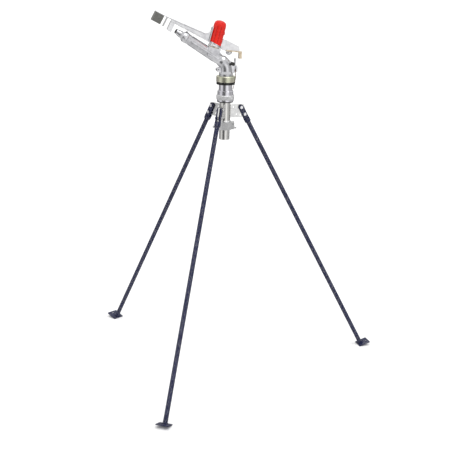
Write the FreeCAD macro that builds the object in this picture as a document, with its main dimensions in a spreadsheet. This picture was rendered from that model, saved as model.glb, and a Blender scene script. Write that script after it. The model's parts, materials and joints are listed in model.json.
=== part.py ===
"""Impact sprinkler gun on a folding tripod, as a FreeCAD document.

Row frame: millimetres, +Z up, origin on the riser's axis at the hose inlet's lower rim.
The ground is at -ground_drop.  The gun is drawn in its own frame, +X along its heading, and each
leg in its own frame, +X radially outward; placements turn them into the row frame.
"""
import FreeCAD, Part
import math
import os
import Sketcher

doc = FreeCAD.newDocument("sprinkler")
V = FreeCAD.Vector
X_AXIS = V(1, 0, 0)
Y_AXIS = V(0, 1, 0)
Z_AXIS = V(0, 0, 1)
CUT_PAST = 1.0
NEAR = 0.1
nodes = {}

# ---------------------------------------------------------------- driving dimensions (mm, degrees)
DIMENSIONS = {
    # riser pipe, nominal 1 1/2 inch, and the hose side
    "pipe_radius": 24.15, "pipe_wall": 3.2, "riser_low": 58, "riser_high": 183, "edge_break": 1.2,
    "stub_radius": 23.7, "spigot_radius": 23.2, "stub_high": 52,
    "coupler_flats": 62, "coupler_low": 46, "coupler_high": 81, "socket_radius": 28.6,
    "adapter_radius": 28.5, "adapter_high": 88, "groove_radius": 25.6, "groove_low": 66, "groove_high": 79,
    "groove_slant": 3,
    "ear_root": 2, "ear_reach": 44, "ear_inside": 8, "ear_outside": 15, "ear_low": 50, "ear_round": 4,
    "window_low": 61, "window_high": 78.2,
    "cam_pin_reach": 38, "cam_pin_level": 72, "cam_pin_radius": 3, "cam_width": 15.4, "cam_nose": 27.2,
    "cam_low": 47, "knob_level": 56.5, "knob_radius": 7.2, "knob_reach": 54, "knob_round": 2.5,
    # lug plates and legs
    "lug_low": 98.5, "lug_high": 158.5, "lug_reach": 102, "lug_plate": 6, "lug_round": 4, "lug_hole": 4.5,
    "weld_depth": 0.4,
    "pivot_reach": 74.5, "pivot_level": 145, "lock_distance": 36, "hinge_bolt": 4, "hinge_hole": 4.05,
    "leg_lean": 28.7, "leg_length": 1401, "leg_radius": 10.3, "leg_wall": 1.8,
    "strap_width": 23, "strap_plate": 4, "strap_gap": 13, "strap_below": 76,
    "collar_radius": 14.2, "collar_length": 18, "collar_cap": 4, "boss_radius": 7.5, "boss_gap": 0.3,
    "ground_drop": 1084, "foot_side": 58, "foot_plate": 4, "foot_tilt": 18, "foot_inset": 16, "foot_round": 3,
    "stake_hole": 4.5, "stake_offset": 19, "front_azimuth": 252.8, "left_azimuth": 137.0,
    "right_azimuth": 17.4,
    "bolt_head_flats": 13, "bolt_head_height": 5.3, "bolt_nut_height": 6.5,
    # inlet sleeve, knurled ring, stop rings and bearing
    "part_gap": 0.3,
    "gasket_low": 171.2, "gasket_high": 176, "gasket_radius": 36, "flange_radius": 38, "flange_high": 183,
    "sleeve_radius": 36, "sleeve_step": 223, "journal_radius": 30.5, "journal_high": 266,
    "knurl_radius": 40.6, "knurl_high": 204, "chamber_radius": 28, "chamber_high": 208,
    "shaft_radius": 22, "shaft_clearance": 0.05, "shaft_bore": 18.5, "shaft_low": 192, "shaft_high": 296,
    "shaft_collar": 27.4, "collar_high": 200,
    "stop_radius": 41.5, "stop_height": 5.2, "lower_stop_low": 251.6, "upper_stop_low": 257.1,
    "lower_stop_azimuth": 60, "upper_stop_azimuth": 80, "stop_tail": 7,
    "tail_inside": 46.4, "tail_outside": 50,
    "housing_low": 262.6, "housing_high": 288, "housing_radius": 42.5, "housing_cavity": 38,
    "housing_roof": 5,
    "bearing_high": 275.7, "bearing_radius": 37.5, "seal_height": 4, "neck_radius": 31, "neck_low": 276,
    # gun casting
    "gun_heading": 197, "elbow_level": 342, "barrel_rise": 32.3, "bend_radius": 45, "elbow_radius": 27,
    "bore_radius": 17.5, "barrel_root": 23.4, "barrel_tip": 20.6, "barrel_end": 211,
    "rib_low": 60, "rib_high": 198, "rib_plate": 7, "rib_crest": 25, "rib_tip": 22.8,
    "pad_back": 34, "front_lug_width": 22,
    "pivot_foot": 66.1, "pivot_lean": 14.9, "post_front": 30, "post_back": 26, "post_width": 44,
    "post_top": 34,
    "vanes_low": 60, "vanes_high": 140, "vane_plate": 1.2,
    "nozzle_base": 20, "nozzle_tip_radius": 10.5, "nozzle_bore": 8.5, "nozzle_end": 274.5,
    "nozzle_flat": 14.8,
    "nut_radius": 24.2, "nut_start": 205, "nut_end": 237, "insert_length": 20, "insert_bore": 6.8,
    "insert_lip": 10.2, "insert_rim": 2.2,
    # impact arm on its pivot
    "arm_rise": 27.8, "arm_level": 48, "web_plate": 6, "flange_plate": 18, "tail_plate": 20,
    "guard_width": 24,
    "block_width": 26, "guide_width": 24, "drive_width": 16, "hook_width": 14,
    "arm_shaft_radius": 6, "arm_shaft_low": 23.5, "arm_shaft_high": 148.5, "arm_bush_radius": 8.5,
    "hub_radius": 14, "hub_disc": 29, "hub_low": 36.2, "hub_high": 60, "washer_radius": 24,
    "seat_radius": 25.2, "seat_high": 58, "spring_high": 134, "spring_seat_high": 137.5,
    "shaft_nut_flats": 18, "shaft_nut_height": 8,
    "cover_radius": 27.8, "cover_wall": 2.2, "cover_low": 44, "cover_top": 154.7, "bump_width": 9,
    "flute_reach": 29.8, "flute_radius": 3.2, "flute_length": 72, "flute_middle": 92,
    "spring_radius": 20.5, "spring_wire": 2, "spring_turns": 8,
    "striker_back": 11.5,
    # reversing gear
    "lever_back": 37, "lever_plate": 5, "trip_pin_level": 321, "trip_pin_radius": 3, "trip_pin_length": 18.5,
    "trip_tilt": 12, "bracket_width": 28, "screw_offset": 10.5, "screw_level": 341, "screw_radius": 2.5,
    "trip_wire": 1.4,
}

# ---------------------------------------------------------------- outlines drawn by hand (mm)
# casting details in the gun's plane (along its heading, up)
BACK_PAD = [(-34, 303), (0, 295), (0, 355), (-22, 355), (-34, 345)]
BEND_GUSSET = [(-22, 347), (8, 347), (50, 379), (46, 399), (30, 395), (2, 361)]
FRONT_LUG = [(14, 302), (37.5, 306.5), (45.5, 313.5), (45.5, 322.5), (37.5, 326.5), (14, 330.5)]
FRONT_LUG_HOLE = (38.5, 317.5, 3)
# the nozzle nut's ear in the barrel's frame (below the axis, along it)
NUT_EAR = [(-20.5, 226), (-26.8, 228.5), (-26.8, 234), (-20.5, 235)]
BRACKET = [(-34, 305), (-34, 346), (-36.7, 346), (-36.7, 310.5), (-42.3, 310.5), (-42.3, 334), (-48.5, 334),
           (-50, 328), (-50, 305)]
TAIL_HOOK = [(3.5, 404.8), (-53.5, 398.1), (-70.5, 396.1), (-70.5, 364.5), (-58, 364.5), (-58, 391.8),
             (-24.5, 396.4), (3.5, 399.8)]
STRIKER = [(0, 382), (6, 382.6), (11, 386), (14.5, 391.5), (15, 396), (0, 396)]
# the arm in its own frame (along the beam, up)
ARM_WEB = [(0, -4.5), (227, -6.5), (227, 3), (265.8, 2), (265.8, 6), (213, 10), (131, 17), (63, 23), (52, 30),
           (45, 48), (41.5, 48), (30, 1.5), (0, 1.5)]
ARM_LOWER_FLANGE = [(12, -4.5), (227, -6.5), (227, -3), (12, -1)]
ARM_UPPER_FLANGE = [(307.5, 2.2), (307.5, 5.6), (260, 6.2), (213, 10), (131, 17), (63, 23), (63, 19),
                    (131, 13), (213, 6), (260, 2.2)]
ARM_TAIL = [(-14, -4), (-42, -6.2), (-54, -4), (-56.2, 1.2), (-111.2, 22.5), (-112, 30), (-101, 42),
            (-27, 40), (-14, 30)]
BLOCK = [(265.5, 2.1), (307.5, 2.1), (307.5, -38.5), (265.5, -38.5)]
GUIDE_VANE = [(247, 2.1), (249, 2.1), (249, -40), (247, -40)]
DRIVE_VANE = [(206.5, -6.6), (227, -6.6), (225.3, -43.6), (204.9, -46)]
# the guard and the cover in the pivot's frame (from the axis, up along it)
GUARD_PLATE = [(29.3, 52), (33, 50), (33, 116), (31, 120), (29.3, 120)]
GUARD_WEB = [(29.3, 52), (39, 58), (35.5, 90), (33, 110), (29.3, 110)]
COVER_DOME = [(0.97, 17.0), (0.87, 9.5), (0.68, 4.4), (0.38, 1.1)]
COVER_BUMP = [(-26.5, 94), (-30.4, 97), (-30.4, 108), (-26.5, 111)]
COVER_SKIRT = [(-40, 30), (40, 30), (40, 60), (-40, 41.5)]
COVER_TAIL_SLOT = [(-30, 30), (-14, 30), (-14, 58.4), (-30, 58.4)]
FLUTES = 10
# reversing gear: half the lever's outline (across, up from its pin), the wire's corners, the knob's profile
LEVER_HALF = [(9, -8), (9, 9), (6, 18), (6, 31), (8, 33), (8, 47)]
WIRE_POINTS = [(-39.5, 4, 316), (-39.5, 20, 316), (-39.5, 20, 297), (-46.5, 8, 293), (-46.5, 4, 254),
               (-40, 4, 223)]
KNOB_PROFILE = [(0, 0), (2.5, 0), (2.5, 2), (7, 3), (8, 5), (8, 10), (6.5, 12), (0, 12)]
KNOB_PLACE = (-26, 17, 344)
# spare holes of the lug plates (from the riser's axis, up)
LUG_HOLES = [(56, 112), (41, 146)]

sheet = doc.addObject("Spreadsheet::Sheet", "dims")
for row, (alias, number) in enumerate(DIMENSIONS.items(), start=1):
    sheet.set("A%d" % row, alias)
    sheet.set("B%d" % row, str(number))
    sheet.setAlias("B%d" % row, alias)
doc.recompute()


class Size:
    """A length or angle worked out from the sheet: its number now and the expression that drives it."""

    def __init__(self, value, text):
        self.value = value
        self.text = text

    def combine(self, other, sign, flip=False):
        other = other if isinstance(other, Size) else Size(float(other), repr(float(other)))
        left, right = (other, self) if flip else (self, other)
        numbers = {"+": lambda: left.value + right.value, "-": lambda: left.value - right.value,
                   "*": lambda: left.value * right.value, "/": lambda: left.value / right.value}
        return Size(numbers[sign](), "(%s %s %s)" % (left.text, sign, right.text))

    def __add__(self, other):
        return self.combine(other, "+")

    def __radd__(self, other):
        return self.combine(other, "+", flip=True)

    def __sub__(self, other):
        return self.combine(other, "-")

    def __rsub__(self, other):
        return self.combine(other, "-", flip=True)

    def __mul__(self, other):
        return self.combine(other, "*")

    def __rmul__(self, other):
        return self.combine(other, "*", flip=True)

    def __truediv__(self, other):
        return self.combine(other, "/")

    def __neg__(self):
        return Size(-self.value, "(0 - %s)" % self.text)


class Dims:
    """dims.name is the Size of that cell."""

    def __getattr__(self, alias):
        return Size(float(sheet.get(alias)), "dims." + alias)


dims = Dims()


def number(size):
    return size.value if isinstance(size, Size) else float(size)


def bind(obj, prop, size):
    """Sets a property to a size, through the sheet when the size comes from it."""
    if isinstance(size, Size):
        obj.setExpression(prop, size.text)
    else:
        setattr(obj, prop, size)


# ---------------------------------------------------------------- sketches and bodies
def new_body(name):
    body = doc.addObject("PartDesign::Body", name)
    body.Label = name
    nodes[name] = body
    return body


def origin_plane(body, role):
    for feature in body.Origin.OriginFeatures:
        if feature.Role == role:
            return feature
    raise ValueError(role)


def new_sketch(body, plane, lift=0, shift=(0, 0), turn=0):
    """A sketch on an origin plane, moved along its normal, shifted in the plane, then turned in it."""
    sketch = body.newObject("Sketcher::SketchObject", body.Name + "_sketch")
    sketch.AttachmentSupport = (origin_plane(body, plane), [""])
    sketch.MapMode = "FlatFace"
    base = V(number(shift[0]), number(shift[1]), number(lift))
    sketch.AttachmentOffset = FreeCAD.Placement(base, FreeCAD.Rotation(Z_AXIS, number(turn)))
    for prop, size in (("x", shift[0]), ("y", shift[1]), ("z", lift)):
        if isinstance(size, Size):
            sketch.setExpression("AttachmentOffset.Base." + prop, size.text)
    return sketch


def pin_point(sketch, geometry, end, x, y):
    """Fixes a point of the sketch by its two coordinates."""
    for kind, size, axis in (("DistanceX", x, -2), ("DistanceY", y, -1)):
        if abs(number(size)) < 1e-9:
            sketch.addConstraint(Sketcher.Constraint("PointOnObject", geometry, end, axis))
            continue
        index = sketch.addConstraint(Sketcher.Constraint(kind, -1, 1, geometry, end, number(size)))
        if isinstance(size, Size):
            sketch.setExpression("Constraints[%d]" % index, size.text)


def add_polygon(sketch, points):
    """A closed outline of straight edges through the points."""
    first = sketch.GeometryCount
    count = len(points)
    flat = [V(number(x), number(y), 0) for x, y in points]
    for i in range(count):
        sketch.addGeometry(Part.LineSegment(flat[i], flat[(i + 1) % count]), False)
    for i in range(count):
        following = first + (i + 1) % count
        sketch.addConstraint(Sketcher.Constraint("Coincident", first + i, 2, following, 1))
    for i, (x, y) in enumerate(points):
        pin_point(sketch, first + i, 1, x, y)


def add_circle(sketch, x, y, radius):
    index = sketch.addGeometry(Part.Circle(V(number(x), number(y), 0), Z_AXIS, number(radius)), False)
    pin_point(sketch, index, 3, x, y)
    constraint = sketch.addConstraint(Sketcher.Constraint("Radius", index, number(radius)))
    if isinstance(radius, Size):
        sketch.setExpression("Constraints[%d]" % constraint, radius.text)


def add_construction_line(sketch, x, half_length=10):
    """A construction line parallel to the sketch's vertical axis, to turn a profile about."""
    a, b = V(number(x), -half_length, 0), V(number(x), half_length, 0)
    index = sketch.addGeometry(Part.LineSegment(a, b), True)
    pin_point(sketch, index, 1, x, -half_length)
    pin_point(sketch, index, 2, x, half_length)


def feature(body, kind, sketch, **settings):
    """Adds a PartDesign feature and says if it left the body's volume unchanged."""
    before = body.Shape.Volume if body.Tip else 0
    made = body.newObject("PartDesign::" + kind, body.Name + "_" + kind.lower())
    made.Profile = sketch
    sketch.Visibility = False
    for prop, value in settings.items():
        if prop == "axis":
            made.ReferenceAxis = (sketch, [value])
        else:
            bind(made, prop, value)
    doc.recompute()
    if abs(made.Shape.Volume - before) < 0.01:
        raise RuntimeError("%s of %s changed nothing" % (kind, body.Label))
    return made


def pad(body, sketch, length, symmetric=True, reverse=False):
    return feature(body, "Pad", sketch, Length=length, Midplane=symmetric, Reversed=reverse)


def pocket(body, sketch, length, symmetric=True, reverse=False):
    return feature(body, "Pocket", sketch, Length=length, Midplane=symmetric, Reversed=reverse)


def pad_outline(body, points, length, plane="XZ_Plane", **where):
    sketch = new_sketch(body, plane, **where)
    add_polygon(sketch, points)
    return pad(body, sketch, length)


def cut_outline(body, points, length, plane="XZ_Plane", **where):
    sketch = new_sketch(body, plane, **where)
    add_polygon(sketch, points)
    return pocket(body, sketch, length)


def cut_round(body, circles, length, plane="XZ_Plane", **where):
    """Cuts round holes (x, y, radius) through, length deep in all about the sketch's plane."""
    sketch = new_sketch(body, plane, **where)
    for x, y, radius in circles:
        add_circle(sketch, x, y, radius)
    return pocket(body, sketch, length)


def turn_profile(body, points, kind="Revolution", plane="XZ_Plane", **where):
    """Turns a closed (radius, height) outline about the sketch's vertical axis."""
    sketch = new_sketch(body, plane, **where)
    add_polygon(sketch, points)
    return feature(body, kind, sketch, axis="V_Axis", Angle=360.0)


def ring(inner, outer, low, high):
    return [(inner, low), (outer, low), (outer, high), (inner, high)]


def turned(name, points):
    body = new_body(name)
    turn_profile(body, points)
    return body


def edges_along(body, direction, test=None):
    """Names of the body's straight edges that run along a direction and pass the test on their middle."""
    names = []
    for index, edge in enumerate(body.Shape.Edges, start=1):
        if not isinstance(edge.Curve, Part.Line):
            continue
        along = (edge.Vertexes[-1].Point - edge.Vertexes[0].Point).normalize()
        if abs(abs(along.dot(direction)) - 1) < 1e-4 and (test is None or test(edge.CenterOfMass)):
            names.append("Edge%d" % index)
    return names


def circle_edges(body, test):
    """Names of the body's circular edges whose circle passes the test."""
    names = []
    for index, edge in enumerate(body.Shape.Edges, start=1):
        if isinstance(edge.Curve, Part.Circle) and test(edge.Curve):
            names.append("Edge%d" % index)
    return names


def round_edges(body, names, radius, kind="Fillet"):
    tip = body.Tip
    made = body.newObject("PartDesign::" + kind, body.Name + "_" + kind.lower())
    made.Base = (tip, names)
    bind(made, "Radius" if kind == "Fillet" else "Size", radius)
    doc.recompute()
    return made


# ---------------------------------------------------------------- placements
gun_place = FreeCAD.Placement(V(), FreeCAD.Rotation(Z_AXIS, number(dims.gun_heading)))
rise = math.radians(number(dims.barrel_rise))
lean = math.radians(number(dims.pivot_lean))
barrel_place = gun_place * FreeCAD.Placement(V(0, 0, number(dims.elbow_level)),
                                             FreeCAD.Rotation(Y_AXIS, 90 - number(dims.barrel_rise)))
pivot_foot_level = number(dims.elbow_level) + number(dims.pivot_foot) * math.tan(rise)
pivot_place = gun_place * FreeCAD.Placement(V(number(dims.pivot_foot), 0, pivot_foot_level),
                                            FreeCAD.Rotation(Y_AXIS, -number(dims.pivot_lean)))
# where the arm's own drawing frame sits in the gun's plane: on the pivot axis, arm_level up
arm_x = dims.pivot_foot - dims.arm_level * math.sin(lean)
arm_z = dims.elbow_level + dims.pivot_foot * math.tan(rise) + dims.arm_level * math.cos(lean)
arm_frame = {"shift": (arm_x, arm_z), "turn": dims.arm_rise}
barrel_frame = {"shift": (0, dims.elbow_level), "turn": dims.barrel_rise - 90}
pivot_frame = {"shift": (dims.pivot_foot, pivot_foot_level), "turn": dims.pivot_lean}


def put(place, *names):
    for name in names:
        nodes[name].Placement = place


# ---------------------------------------------------------------- fasteners and wires
def primitive(kind, name, **sizes):
    made = doc.addObject("Part::" + kind, name)
    for prop, size in sizes.items():
        bind(made, prop, size)
    return made


def hex_prism(name, flats, height):
    prism = primitive("Prism", name, Circumradius=flats / (2 * math.cos(math.pi / 6)), Height=height)
    prism.Polygon = 6
    return prism


def fuse(name, pieces):
    made = doc.addObject("Part::MultiFuse", name)
    made.Shapes = pieces
    return made


def group(name, pieces):
    """One node that holds several separate solids."""
    made = doc.addObject("Part::Compound", name)
    made.Links = pieces
    made.Label = name
    nodes[name] = made
    return made


def hinge_bolt_pieces(name, place):
    """A hexagon bolt through both straps and its nut, at a place whose +Z runs from head to nut."""
    half_span = dims.strap_gap / 2 + dims.strap_plate
    head = hex_prism(name + "_head", dims.bolt_head_flats, dims.bolt_head_height)
    head.Placement.Base = V(0, 0, -number(half_span) - number(dims.bolt_head_height))
    shank = primitive("Cylinder", name + "_shank", Radius=dims.hinge_bolt,
                      Height=2 * (half_span + CUT_PAST) + dims.bolt_nut_height)
    shank.Placement.Base = V(0, 0, -number(half_span))
    bolt = fuse(name + "_bolt", [head, shank])
    block = hex_prism(name + "_block", dims.bolt_head_flats, dims.bolt_nut_height)
    block.Placement.Base = V(0, 0, number(half_span))
    bore = primitive("Cylinder", name + "_bore", Radius=dims.hinge_bolt,
                     Height=dims.bolt_nut_height + 2 * CUT_PAST)
    bore.Placement.Base = V(0, 0, number(half_span) - CUT_PAST)
    nut = doc.addObject("Part::Cut", name + "_nut")
    nut.Base = block
    nut.Tool = bore
    bolt.Placement = place
    nut.Placement = place
    return bolt, nut


def wire_along(name, points, radius, bend):
    """A round wire along straight runs joined by tangent arcs of one radius."""
    edges = []
    start = points[0]
    for before, corner, after in zip(points, points[1:], points[2:]):
        back = (before - corner).normalize()
        ahead = (after - corner).normalize()
        half = back.getAngle(ahead) / 2
        reach = bend / math.tan(half)
        middle = (back + ahead).normalize()
        centre = corner + middle * (bend / math.sin(half))
        enter = corner + back * reach
        leave = corner + ahead * reach
        edges.append(Part.LineSegment(start, enter).toShape())
        edges.append(Part.Arc(enter, centre - middle * bend, leave).toShape())
        start = leave
    edges.append(Part.LineSegment(start, points[-1]).toShape())
    spine = Part.Wire(edges)
    section = Part.Wire(Part.makeCircle(radius, points[0], points[1] - points[0]))
    made = doc.addObject("Part::Feature", name)
    made.Shape = spine.makePipeShell([section], True, False)
    return made


# ---------------------------------------------------------------- riser, hose stub and coupler
def make_riser():
    inner = dims.pipe_radius - dims.pipe_wall
    stub, spigot, edge = dims.stub_radius, dims.spigot_radius, dims.edge_break
    turned("riser_pipe", ring(inner, dims.pipe_radius, dims.riser_low, dims.riser_high))
    turned("hose_stub", [
        (inner, 0), (stub - edge, 0), (stub, edge), (stub, dims.coupler_low), (spigot, dims.coupler_low),
        (spigot, dims.stub_high), (inner, dims.stub_high)])
    outer, groove, slant = dims.adapter_radius, dims.groove_radius, dims.groove_slant
    turned("riser_adapter", [
        (dims.pipe_radius, dims.riser_low), (outer - edge, dims.riser_low), (outer, dims.riser_low + edge),
        (outer, dims.groove_low), (groove, dims.groove_low + slant), (groove, dims.groove_high - slant),
        (outer, dims.groove_high), (outer, dims.adapter_high - slant), (dims.pipe_radius, dims.adapter_high)])
    turned("coupler_gasket", ring(inner + edge, dims.socket_radius, dims.stub_high, dims.riser_low))


def make_coupler():
    body = new_body("coupler_body")
    sketch = new_sketch(body, "XY_Plane", lift=dims.coupler_low)
    corner = dims.coupler_flats / 2
    side = dims.coupler_flats * (math.tan(math.pi / 8) / 2)
    add_polygon(sketch, [(corner, -side), (corner, side), (side, corner), (-side, corner),
                         (-corner, side), (-corner, -side), (-side, -corner), (side, -corner)])
    pad(body, sketch, dims.coupler_high - dims.coupler_low, symmetric=False)
    # two pairs of ears, left and right, that carry the cam levers
    root = corner - dims.ear_root
    for side_sign in (1, -1):
        for ear_sign in (1, -1):
            sketch = new_sketch(body, "XY_Plane", lift=dims.ear_low)
            inside = dims.ear_inside * ear_sign
            outside = dims.ear_outside * ear_sign
            add_polygon(sketch, [(side_sign * root, inside), (side_sign * dims.ear_reach, inside),
                                 (side_sign * dims.ear_reach, outside), (side_sign * root, outside)])
            pad(body, sketch, dims.coupler_high - dims.ear_low, symmetric=False)
    turn_profile(body, ring(0, dims.socket_radius, dims.stub_high, dims.coupler_high + CUT_PAST), "Groove")
    turn_profile(body, ring(0, dims.spigot_radius, dims.coupler_low - CUT_PAST, dims.stub_high), "Groove")
    # windows for the cams and the holes of their pins
    reach, low, high = dims.ear_reach, dims.window_low, dims.window_high
    cut_outline(body, [(-reach, low), (reach, low), (reach, high), (-reach, high)], 2 * dims.ear_inside)
    cut_round(body, [(dims.cam_pin_reach, dims.cam_pin_level, dims.cam_pin_radius),
                     (-dims.cam_pin_reach, dims.cam_pin_level, dims.cam_pin_radius)],
              2 * (dims.ear_outside + CUT_PAST))
    names = edges_along(body, Y_AXIS, lambda c: abs(abs(c.x) - number(reach)) < NEAR)
    round_edges(body, names, dims.ear_round)
    pins = []
    for sign in (1, -1):
        pin = primitive("Cylinder", "cam_pin", Radius=dims.cam_pin_radius, Height=2 * dims.ear_outside)
        place = V(sign * number(dims.cam_pin_reach), number(dims.ear_outside), number(dims.cam_pin_level))
        pin.Placement = FreeCAD.Placement(place, FreeCAD.Rotation(X_AXIS, 90))
        pins.append(pin)
    group("cam_pins", pins)


def make_cam_lever(name, turn):
    """A cam lever lying down along the coupler: nose in the adapter's groove, finger knob outward."""
    body = new_body(name)
    pin_x, pin_z, nose = dims.cam_pin_reach, dims.cam_pin_level, dims.cam_nose
    heel = pin_x - 6
    pad_outline(body, [
        (heel, dims.cam_low), (pin_x + 4, dims.cam_low), (pin_x + 5.5, pin_z + 3.5), (pin_x + 1, pin_z + 5.7),
        (pin_x - 4, pin_z + 5.7), (nose, pin_z + 4), (nose, pin_z - 4), (heel, pin_z - 9)], dims.cam_width)
    sketch = new_sketch(body, "YZ_Plane", lift=pin_x)
    add_circle(sketch, 0, dims.knob_level, dims.knob_radius)
    pad(body, sketch, dims.knob_reach - pin_x, symmetric=False)
    cut_round(body, [(pin_x, pin_z, dims.cam_pin_radius + dims.shaft_clearance)], dims.cam_width + CUT_PAST)
    knob_end = number(dims.knob_reach)
    round_edges(body, circle_edges(body, lambda c: abs(c.Center.x - knob_end) < NEAR), dims.knob_round)
    body.Placement = FreeCAD.Placement(V(), FreeCAD.Rotation(Z_AXIS, turn))


# ---------------------------------------------------------------- lug plates and legs
def lock_point(angle):
    """The lock bolt's place in a leg's plane when the leg leans by this angle."""
    return (dims.pivot_reach + dims.lock_distance * math.sin(math.radians(angle)),
            dims.pivot_level - dims.lock_distance * math.cos(math.radians(angle)))


def make_lug_plate(name, azimuth):
    body = new_body(name)
    low, high, reach = dims.lug_low, dims.lug_high, dims.lug_reach
    root = dims.pipe_radius - dims.weld_depth
    pad_outline(body, [(root, low), (dims.pivot_reach + 2, low), (reach, low + 8), (reach, low + 22),
                       (dims.pivot_reach + 14, high), (root, high)], dims.lug_plate)
    turn_profile(body, ring(0, dims.pipe_radius, low - CUT_PAST, high + CUT_PAST), "Groove")
    corner_names = edges_along(body, Y_AXIS, lambda c: c.x > number(dims.pivot_reach))
    round_edges(body, corner_names, dims.lug_round)
    through = dims.lug_plate + CUT_PAST
    cut_round(body, [(dims.pivot_reach, dims.pivot_level, dims.hinge_hole)], through)
    sketch = new_sketch(body, "XZ_Plane")
    add_arc_slot(sketch, number(dims.leg_lean))
    pocket(body, sketch, through)
    cut_round(body, [(x, z, dims.lug_hole) for x, z in LUG_HOLES], through)
    body.Placement = FreeCAD.Placement(V(), FreeCAD.Rotation(Z_AXIS, azimuth))


def add_arc_slot(sketch, lean_now):
    """A slot with round ends, from straight down to the leg's working lean, about the leg's pivot."""
    centre = V(number(dims.pivot_reach), number(dims.pivot_level), 0)
    mean, half = number(dims.lock_distance), number(dims.hinge_hole)
    low, high = math.radians(-90), math.radians(-90 + lean_now)
    start = centre + V(math.cos(low), math.sin(low), 0) * mean
    finish = centre + V(math.cos(high), math.sin(high), 0) * mean
    outer = Part.ArcOfCircle(Part.Circle(centre, Z_AXIS, mean + half), low, high)
    inner = Part.ArcOfCircle(Part.Circle(centre, Z_AXIS, mean - half), low, high)
    end_low = Part.ArcOfCircle(Part.Circle(start, Z_AXIS, half), low - math.pi, low)
    end_high = Part.ArcOfCircle(Part.Circle(finish, Z_AXIS, half), high, high + math.pi)
    for index, arc in enumerate((outer, end_high, inner, end_low)):
        sketch.addGeometry(arc, False)
        sketch.addConstraint(Sketcher.Constraint("Block", index))


def leg_frame(azimuth):
    """Placement of a leg's own frame: origin at its pivot, +Z up along the leg, +X outward."""
    turn = FreeCAD.Placement(V(), FreeCAD.Rotation(Z_AXIS, azimuth))
    pivot = FreeCAD.Placement(V(number(dims.pivot_reach), 0, number(dims.pivot_level)),
                              FreeCAD.Rotation(Y_AXIS, -number(dims.leg_lean)))
    return turn * pivot


def foot_centre():
    """A foot plate's underside centre in its leg's plane: inner edge on the ground, outer edge raised."""
    tilt = math.radians(number(dims.foot_tilt))
    level = -number(dims.ground_drop) + number(dims.foot_side) / 2 * math.sin(tilt)
    drop = number(dims.pivot_level) - level - number(dims.foot_plate)
    reach = number(dims.pivot_reach) + drop * math.tan(math.radians(number(dims.leg_lean)))
    return reach + number(dims.foot_inset), level


def leg_run():
    """Length along the leg's axis from its pivot to the foot plate's upper face."""
    tilt = math.radians(number(dims.foot_tilt))
    out, down = foot_centre()
    across = (out - number(dims.pivot_reach)) * math.sin(tilt)
    along = (number(dims.pivot_level) - down) * math.cos(tilt)
    return (across + along - number(dims.foot_plate)) / math.cos(foot_slope())


def foot_slope():
    """Angle between the foot plate and a square cut of the leg's end."""
    return math.radians(number(dims.leg_lean) - number(dims.foot_tilt))


def make_leg(prefix, azimuth):
    place = leg_frame(azimuth)
    tube_top = dims.collar_length - dims.strap_below - dims.collar_cap
    tube = turned(prefix + "_leg_tube", ring(dims.leg_radius - dims.leg_wall, dims.leg_radius,
                                             -dims.leg_length, tube_top))
    # the lower end is mitred to the foot plate's upper face
    end, side = -leg_run(), 20
    fall = side * math.tan(foot_slope())
    below = end - 2 * side
    cut_outline(tube, [(-side, below), (side, below), (side, end - fall), (-side, end + fall)], 2 * side)
    tube.Placement = place

    fork = new_body(prefix + "_leg_fork")
    half = dims.strap_width / 2
    gap, outside = dims.strap_gap / 2, dims.strap_gap / 2 + dims.strap_plate
    foot_of_strap = dims.collar_length / 4 - dims.strap_below
    turn_profile(fork, ring(0, dims.collar_radius, -dims.strap_below, dims.collar_length - dims.strap_below))
    for sign in (1, -1):
        middle = sign * (gap + outside) / 2
        pad_outline(fork, [(-half, foot_of_strap), (half, foot_of_strap), (half, 0), (-half, 0)],
                    dims.strap_plate, lift=middle)
        sketch = new_sketch(fork, "XZ_Plane", lift=middle)
        add_circle(sketch, 0, 0, half)
        pad(fork, sketch, dims.strap_plate)
        boss = gap - dims.lug_plate / 2 - dims.boss_gap
        for level in (0, -dims.lock_distance):
            sketch = new_sketch(fork, "XZ_Plane", lift=sign * (gap - boss / 2))
            add_circle(sketch, 0, level, dims.boss_radius)
            pad(fork, sketch, boss)
    turn_profile(fork, ring(0, dims.leg_radius, -dims.strap_below - CUT_PAST, tube_top), "Groove")
    cut_round(fork, [(0, 0, dims.hinge_hole), (0, -dims.lock_distance, dims.hinge_bolt)],
              2 * (outside + CUT_PAST))
    fork.Placement = place

    bolt, nut = hinge_bolt_pieces(prefix + "_lock", across_leg(azimuth, lock_point(number(dims.leg_lean))))
    group(prefix + "_lock_bolt", [bolt, nut])
    return hinge_bolt_pieces(prefix + "_pivot", across_leg(azimuth, (dims.pivot_reach, dims.pivot_level)))


def across_leg(azimuth, point):
    """Placement at a point of a leg's plane with +Z square to that plane."""
    turn = FreeCAD.Placement(V(), FreeCAD.Rotation(Z_AXIS, azimuth))
    return turn * FreeCAD.Placement(V(number(point[0]), 0, number(point[1])), FreeCAD.Rotation(X_AXIS, -90))


def make_foot(name, azimuth):
    body = new_body(name)
    half = dims.foot_side / 2
    sketch = new_sketch(body, "XY_Plane")
    add_polygon(sketch, [(-half, -half), (half, -half), (half, half), (-half, half)])
    pad(body, sketch, dims.foot_plate, symmetric=False)
    round_edges(body, edges_along(body, Z_AXIS), dims.foot_round)
    cut_round(body, [(dims.stake_offset, 0, dims.stake_hole)], 3 * dims.foot_plate, plane="XY_Plane")
    reach, level = foot_centre()
    turn = FreeCAD.Placement(V(), FreeCAD.Rotation(Z_AXIS, azimuth))
    lie = FreeCAD.Placement(V(reach, 0, level), FreeCAD.Rotation(Y_AXIS, -number(dims.foot_tilt)))
    body.Placement = turn * lie


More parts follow.
